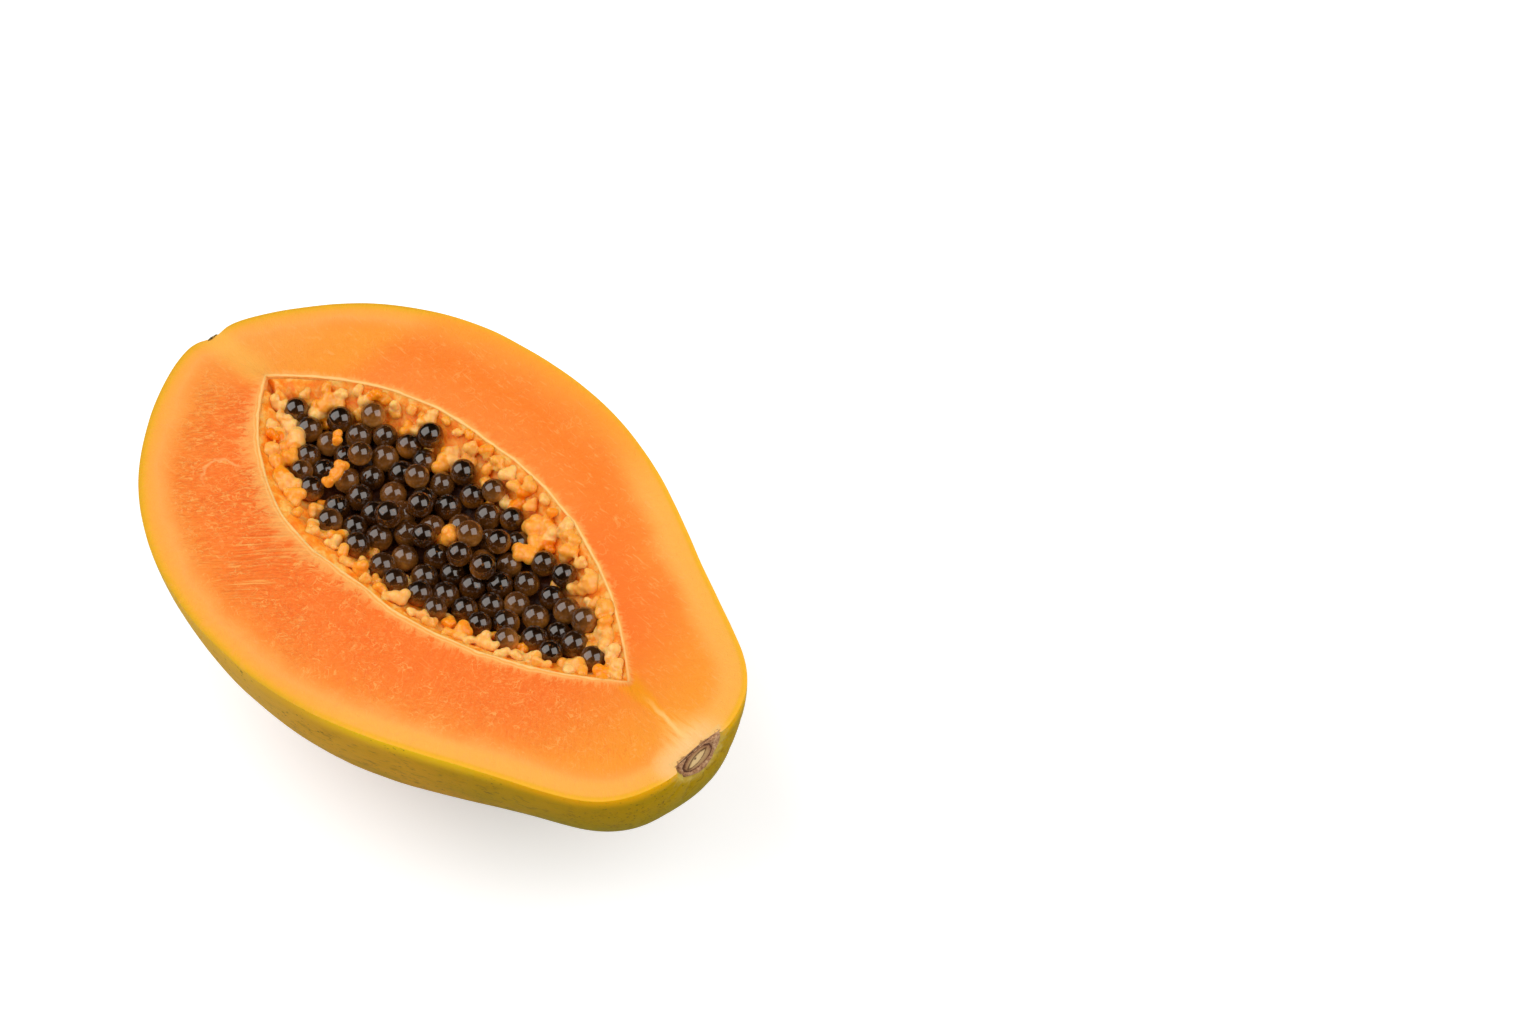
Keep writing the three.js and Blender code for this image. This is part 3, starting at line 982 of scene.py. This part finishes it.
knobStyle = {
    "wallReach": 2.6,
    "growth": 1.25,
    "core": 0.8,  # the middle ball of a knob, as a share of its radius
    "longer": 0.35,  # how much longer than wide the longest are
    "lumpPlace": 0.72,
    "lumpSmallest": 0.52,
    "lumpSpread": 0.24,
    "voxel": 0.3,
    "bulge": 0.12,
    "bulgeSize": 2.5,
    "strayTone": 0.55,
}

# lumps that lie loose on the seeds: a long one and a round one
strayKnobs = (
    {"start": (-30.6, -0.6, 0.1), "end": (-29.8, -5.6, -0.6), "radius": 1.6, "bulbs": 4},
    {"start": (-38.6, 4.4, -0.3), "end": (-37.2, 2.8, -0.2), "radius": 1.5, "bulbs": 2},
)


def pulpKnobs():
    surface = {"Roughness": 0.32, "IOR": 1.42, "Specular IOR Level": 0.3, "Subsurface Weight": 0.6,
               "Subsurface Scale": 0.0018, "Subsurface Radius": (1.0, 0.4, 0.1), "Coat Weight": 0.6,
               "Coat Roughness": 0.08}
    material, tree = startMaterial("pulpKnobs", surface)
    place = placeOnObject(tree)
    tone = swing(noiseOf(place, 0.6, detail=3), 0.5, pointValue(tree, "tone"))
    base = rampOf(tone,
        (0.0, 255, 192, 108),
        (0.35, 255, 162, 52),
        (0.6, 255, 150, 28),
        (0.85, 255, 144, 8),
        (1.0, 255, 130, 0))
    lumps = noiseOf(place, 1.4, detail=2)
    return finishMaterial(material, {"Base Color": base, "Normal": bumped(lumps, 0.22, 0.5)})


# Joins what overlaps into one skin of even small faces.
def fusedForm(bm, voxel):
    holder = meshObject(bm, "fusing")
    mesh = holder.data
    remesh = holder.modifiers.new("fuse", "REMESH")
    remesh.mode = "VOXEL"
    remesh.voxel_size = voxel
    fused = bmesh.new()
    fused.from_object(holder, bpy.context.evaluated_depsgraph_get())
    bpy.data.objects.remove(holder)
    bpy.data.meshes.remove(mesh)
    return fused


def addKnob(bm, centre, radius, draw, lumps):
    style = knobStyle
    long = 1 + style["longer"] * draw()
    turn = randomDirection(draw).to_track_quat("Z", "Y").to_matrix().to_4x4()
    form = Matrix.Translation(centre) @ turn @ Matrix.Diagonal((1, 0.92, long, 1))
    bmesh.ops.create_icosphere(bm, subdivisions=2, radius=style["core"] * radius, matrix=form)
    for _ in range(lumps):
        direction = randomDirection(draw)
        direction.z = abs(direction.z) * 0.9
        size = radius * (style["lumpSmallest"] + style["lumpSpread"] * draw())
        place = Matrix.Translation(Vector(centre) + direction * radius * style["lumpPlace"])
        bmesh.ops.create_icosphere(bm, subdivisions=2, radius=size, matrix=place)


def buildKnobs(heap):
    draw = randomSource(707)
    bm = bmesh.new()
    large = scatterKnobs(knobs, heap, randomSource(4117)) + [ball for ball in heap if ball["loose"]]
    small = scatterKnobs(smallKnobs, heap, draw)
    for knob in large:
        addKnob(bm, centreOf(knob), knob["radius"] * knobStyle["growth"], draw, knobs["lumps"])
    for knob in small:
        addKnob(bm, centreOf(knob), knob["radius"], draw, smallKnobs["lumps"])
    for stray in strayKnobs:
        for step in range(stray["bulbs"]):
            share = step / (stray["bulbs"] - 1)
            centre = Vector(stray["start"]).lerp(Vector(stray["end"]), share)
            radius = stray["radius"] * (0.85 + 0.3 * draw())
            addKnob(bm, centre, radius, draw, smallKnobs["lumps"])
    bm = fusedForm(bm, knobStyle["voxel"])
    bmesh.ops.smooth_vert(bm, verts=bm.verts, factor=0.5,
                          use_axis_x=True, use_axis_y=True, use_axis_z=True)

    # popcorn bulges: each cell of the pattern swells out, and the creases stay
    bm.normal_update()
    places = vertexPlaces(bm)
    normals = np.array([vertex.normal for vertex in bm.verts])
    cells = np.array([noise.voronoi(Vector(p) / knobStyle["bulgeSize"])[0][0] for p in places])
    places += normals * (knobStyle["bulge"] * (0.35 - cells))[:, None]
    placeVertices(bm, places)

    centres = [centreOf(knob) for knob in large + small]
    centres += [stray[end] for stray in strayKnobs for end in ("start", "end")]
    tree = searchTree(centres)
    tones = [draw() if draw() < 0.3 else 0.45 * draw() for _ in centres]
    strayEnds = 2 * len(strayKnobs)
    tones[-strayEnds:] = [knobStyle["strayTone"]] * strayEnds
    tone = np.array([tones[tree.find(place)[1]] for place in places])
    finishPiece(bm, "pulpKnobs", [pulpKnobs()], {"tone": tone}, "seed_bed")


seedStyle = {
    "shrink": 0.99,
    "uneven": 0.03,
    "subdivisions": 4,
    # the amber below the dark cap is a painted glow: light that passes through the gel and comes out on
    # the underside
    "capAndGlowAxis": (-0.1, 0.1, 0.99),  # the dark cap looks this way, and amber glows below it
    "capTilt": 0.7,  # how far it may lean from that, in radians
}


def seedCoat():
    surface = {"Roughness": 0.25, "IOR": 1.5, "Specular IOR Level": 0.3, "Coat Weight": 0.85,
               "Specular Tint": (1.0, 0.7, 0.4, 1.0), "Coat Roughness": 0.02, "Coat IOR": 2.0}
    material, tree = startMaterial("seedCoat", surface)
    tone = pointValue(tree, "tone")
    mottle = noiseOf(placeOnObject(tree), 0.9, detail=4, roughness=0.65)
    out = pointVector(tree, "out")
    cap = swing(mottle, 1.1, vectorCalc("DOT_PRODUCT", out, seedStyle["capAndGlowAxis"], output="Value"))
    dark = mixed(tone, colour(15, 5, 1), colour(92, 50, 14))
    olive = mixed(tone, colour(70, 35, 6), colour(150, 92, 34))
    # away from the dark cap each seed turns olive, then amber: painted glow of light shining through
    # the gel, strongest on the underside
    paintedGlowAmber = mixed(tone, colour(160, 94, 24), colour(218, 144, 62))
    base = mixed(fit(cap, 0.9, 0.25), dark, olive)
    base = mixed(fit(cap, 0.3, -0.6), base, paintedGlowAmber)
    base = over(base, fit(mottle, 0.58, 0.7, 0, 0.5), 150, 88, 32)
    return finishMaterial(material, {"Base Color": base, "Normal": bumped(mottle, 0.12, 0.4)})


def buildSeeds(heap):
    draw = randomSource(55)
    bm = bmesh.new()
    out = []
    tones = []
    for ball in heap:
        if ball["loose"]:
            continue
        centre = Vector(centreOf(ball))
        radius = ball["radius"] * seedStyle["shrink"]
        longAxis = randomDirection(draw).to_track_quat("Z", "Y").to_matrix().to_4x4()
        stretch = Matrix.Diagonal((1, 1, 1 + seedStyle["uneven"] * (2 * draw() - 1), 1))
        form = Matrix.Translation(centre) @ longAxis @ stretch
        made = bmesh.ops.create_icosphere(bm, subdivisions=seedStyle["subdivisions"], radius=radius,
                                          matrix=form)["verts"]
        lean = Matrix.Rotation(seedStyle["capTilt"] * draw(), 3, randomDirection(draw))
        out += [lean @ (vertex.co - centre).normalized() for vertex in made]
        tones += [draw() ** 3] * len(made)
    values = {"out": np.array(out), "tone": np.array(tones)}
    finishPiece(bm, "looseSeeds", [seedCoat()], values, "seed_bed")


scarStyle = {
    "around": 96,
    "rings": 60,
    "proud": 0.1,  # the cork stands this much above the cut flesh
    "ringY": 1.6,
    "ringZ": -2.0,
    "ringHalfWidth": 4.1,
    "ringHalfHeight": 2.6,
    "eyeY": 1.3,  # the pale lens inside the ring
    "eyeZ": -1.9,
    "eyeHalfWidth": 3.2,
    "eyeHalfHeight": 1.3,
    "eyePower": 1.5,  # 2 is an oval, and less has pointed ends
    "eyeTilt": 0.33,
    "dotY": 0.9,
    "dotZ": -1.3,
    "waves": ((3, 1, 0.03), (7, 0, 0.02), (17, 0, 0.012)),  # its uneven border
    "dent": 0.12,  # drawn in below on the side towards +Y
    "dentTurn": -0.75,
    "dentWidth": 0.4,
    "ringGroove": 0.32,
    "eyeGroove": 0.12,
    "edgeFall": 0.75,  # rounds off its border
    "crackDepth": 0.14,
}


def ringShare(y, z):
    style = scarStyle
    across = (y - style["ringY"]) / style["ringHalfWidth"]
    return np.hypot(across, (z - style["ringZ"]) / style["ringHalfHeight"])


def eyeShare(y, z):
    style = scarStyle
    across, up = y - style["eyeY"], z - style["eyeZ"]
    cosine, sine = math.cos(style["eyeTilt"]), math.sin(style["eyeTilt"])
    along = (across * cosine + up * sine) / style["eyeHalfWidth"]
    aside = (up * cosine - across * sine) / style["eyeHalfHeight"]
    power = style["eyePower"]
    return (np.abs(along) ** power + np.abs(aside) ** power) ** (1 / power)


def dryCork():
    material, tree = startMaterial("dryCork", {"Roughness": 0.8, "IOR": 1.4})
    place = placeOnObject(tree)
    rough = noiseOf(place, 1.2, detail=5, roughness=0.7)
    ring = swing(rough, 0.28, pointValue(tree, "ringShare"))
    eye = swing(rough, 0.28, pointValue(tree, "eyeShare"))
    cork = rampOf(noiseOf(place, 1.0, detail=5, roughness=0.75),
        (0.34, 116, 72, 42),
        (0.46, 176, 126, 86),
        (0.56, 202, 154, 112),
        (0.68, 236, 200, 152))
    collar = rampOf(ring,
        (0.6, 196, 156, 104),
        (0.84, 176, 126, 84),
        (0.94, 98, 56, 34),
        (1.0, 98, 56, 34),
        (1.07, 176, 126, 86))
    base = mixed(fit(ring, 1.0, 1.1), collar, cork)
    pith = rampOf(eye,
        (0.0, 246, 212, 152),
        (0.7, 236, 198, 136),
        (0.88, 96, 56, 28),
        (1.0, 150, 106, 66),
        (1.2, 196, 156, 104))
    base = mixed(fit(eye, 1.1, 1.0), base, pith)
    dot = pointValue(tree, "dotDistance")
    base = over(base, fit(dot, 0.4, 0.2, 0, 0.85), 78, 48, 30)
    return finishMaterial(material, {"Base Color": base, "Normal": bumped(rough, 0.35, 0.9)})


def buildScar():
    style = scarStyle
    bm = bmesh.new()
    bmesh.ops.create_uvsphere(bm, u_segments=style["around"], v_segments=style["rings"], radius=1,
                              matrix=quarterTurn)
    unit = vertexPlaces(bm)
    fromPole = np.arccos(np.clip(np.abs(unit[:, 0]), 0, 1)) / (math.pi / 2)
    turn = np.arctan2(unit[:, 2], unit[:, 1])
    dent = style["dent"] * bell((turn - style["dentTurn"]) / style["dentWidth"])
    reach = fromPole * (1 + waveSum(turn, style["waves"]) - dent)
    y = scar["y"] + scar["halfWidth"] * reach * np.cos(turn)
    z = -scar["drop"] + scar["halfHeight"] * reach * np.sin(turn)
    face = scarFace(z)
    front = unit[:, 0] >= -1e-6
    ring, eye = ringShare(y, z), eyeShare(y, z)
    relief = -style["ringGroove"] * bell((ring - 1) / 0.1)
    relief -= style["eyeGroove"] * bell((eye - 0.92) / 0.07)
    relief += 0.1 * smoothStep(0.9, 0.7, eye) + 0.16 * smoothStep(1.0, 1.3, ring)
    relief -= style["edgeFall"] * smoothStep(0.8, 1.0, fromPole)
    places = stacked(face, y, z)
    relief += style["crackDepth"] * softNoise(places, 1.3, 4) * smoothStep(0.7, 1.1, ring)
    thickness = scar["thickness"] * (1 - 0.55 * fromPole ** 2)
    places[:, 0] = np.where(front, face + relief, face - thickness)
    placeVertices(bm, places)
    rim = [item for item in cutOffAbove(bm, style["proud"]) if isinstance(item, bmesh.types.BMEdge)]
    bmesh.ops.holes_fill(bm, edges=rim, sides=0)
    bmesh.ops.triangulate(bm, faces=[face for face in bm.faces if len(face.verts) > 4])
    bmesh.ops.recalc_face_normals(bm, faces=bm.faces)
    _, y, z = vertexPlaces(bm).T
    values = {"ringShare": ringShare(y, z), "eyeShare": eyeShare(y, z),
              "dotDistance": np.hypot(y - style["dotY"], z - style["dotZ"])}
    finishPiece(bm, "stemScar", [dryCork()], values, "stem_scar")


def dryTip():
    material, tree = startMaterial("dryTip", {"Roughness": 0.75, "IOR": 1.4})
    base = rampOf(noiseOf(placeOnObject(tree), 1.5, detail=4),
        (0.35, 70, 58, 24),
        (0.5, 128, 100, 44),
        (0.65, 176, 140, 72))
    return finishMaterial(material, {"Base Color": base})


# the withered rest of the flower, a thin scab in the nick of the blossom end
tip = {"y": 2.6, "z": -0.55, "halfWidth": 1.6, "halfHeight": 0.85, "thickness": 0.42, "sunk": 0.1}


def buildBlossomTip():
    bm = bmesh.new()
    bmesh.ops.create_icosphere(bm, subdivisions=4, radius=1)
    places = vertexPlaces(bm)
    places *= (1 + 0.16 * softNoise(places, 0.6, 3))[:, None]
    places *= (tip["thickness"], tip["halfWidth"], tip["halfHeight"])
    nick = fruit["middleX"] - fruit["halfLength"] + blossomDimple["depth"]
    places += (nick + tip["sunk"], tip["y"], tip["z"])
    placeVertices(bm, places)
    finishPiece(bm, "blossomTip", [dryTip()])


studio = {
    "floorSize": 6000,
    "floorDrop": 0.05,  # keeps it clear of the fruit's flat spot
    "floorTone": 0.55,
    "floorSeen": 0.93,  # its tone where the camera sees it
    "floorGlow": 0.35,  # lifts the floor to white there
    "lampDistance": 1200,
    "key": {"toward": (-0.495, -0.351, 0.796), "size": 1450, "power": 10.9, "roll": 0.5},
    "side": {"toward": (0.619, 0.391, 0.682), "size": 1150, "power": 6.85, "roll": 0.7},
    "sky": 0.51,
    "skyMirrored": 0.015,  # share of it that shows in shiny surfaces
    "backdrop": 0.95,
}
view = {
    "place": (481.22, -291.81, 795.24),
    "up": (-0.5504, 0.5835, 0.5972),
    "back": (0.4697, -0.3751, 0.7992),
    "lens": 100,
    "sensor": 36,
    "nearest": 50,
}


def buildFloor():
    bm = bmesh.new()
    half = studio["floorSize"] / 2 * millimetre
    bmesh.ops.create_grid(bm, x_segments=4, y_segments=4, size=half)
    floor = meshObject(bm, "floor")
    floor.location.z = -studio["floorDrop"] * millimetre
    surface = {"Roughness": 0.9, "Specular IOR Level": 0.1, "Emission Color": (1, 1, 1, 1)}
    material, tree = startMaterial("paleFloor", surface)
    seen = addNode(tree, "LightPath").outputs["Is Camera Ray"]
    tone = fit(seen, 0, 1, studio["floorTone"], studio["floorSeen"], smooth=False)
    glow = times(seen, studio["floorGlow"])
    finishMaterial(material, {"Base Color": tone, "Emission Strength": glow})
    floor.data.materials.append(material)


def addSoftbox(name):
    box = studio[name]
    light = bpy.data.lights.new(name, "AREA")
    light.shape = "SQUARE"
    light.size = box["size"] * millimetre
    light.energy = box["power"]
    toward = Vector(box["toward"]).normalized()
    target = Vector((0, 0, cutHeight * millimetre))
    turn = toward.to_track_quat("Z", "Y").to_matrix().to_4x4() @ Matrix.Rotation(box["roll"], 4, "Z")
    place = target + toward * studio["lampDistance"] * millimetre
    addObject(name, light).matrix_world = Matrix.Translation(place) @ turn


def buildSky():
    world = bpy.data.worlds.new("studio")
    bpy.context.scene.world = world
    world.use_nodes = True
    tree = world.node_tree
    background = tree.nodes["Background"]
    rays = addNode(tree, "LightPath")
    seen = fit(rays.outputs["Is Camera Ray"], 0, 1, studio["sky"], studio["backdrop"], smooth=False)
    mirrored = fit(rays.outputs["Is Glossy Ray"], 0, 1, 1.0, studio["skyMirrored"], smooth=False)
    tree.links.new(times(seen, mirrored), background.inputs["Strength"])
    background.inputs["Color"].default_value = (1, 1, 1, 1)


def buildCamera():
    data = bpy.data.cameras.new("camera")
    data.lens = view["lens"]
    data.sensor_width = view["sensor"]
    data.clip_start = view["nearest"] * millimetre
    camera = addObject("camera", data)
    up = Vector(view["up"]).normalized()
    back = Vector(view["back"]).normalized()
    right = up.cross(back).normalized()
    up = back.cross(right)
    axes = Matrix((right, up, back)).transposed().to_4x4()
    camera.matrix_world = Matrix.Translation(Vector(view["place"]) * millimetre) @ axes
    bpy.context.scene.camera = camera


buildCamera()
buildFloor()
addSoftbox("key")
addSoftbox("side")
buildSky()
bpy.context.scene.view_settings.view_transform = "Standard"
print("studio ready")

buildFlesh()
buildPulp()
heapOfBalls = fillHeap()
print(f"heap: {len(heapOfBalls)} balls")
buildKnobs(heapOfBalls)
buildSeeds(heapOfBalls)
buildScar()
buildBlossomTip()
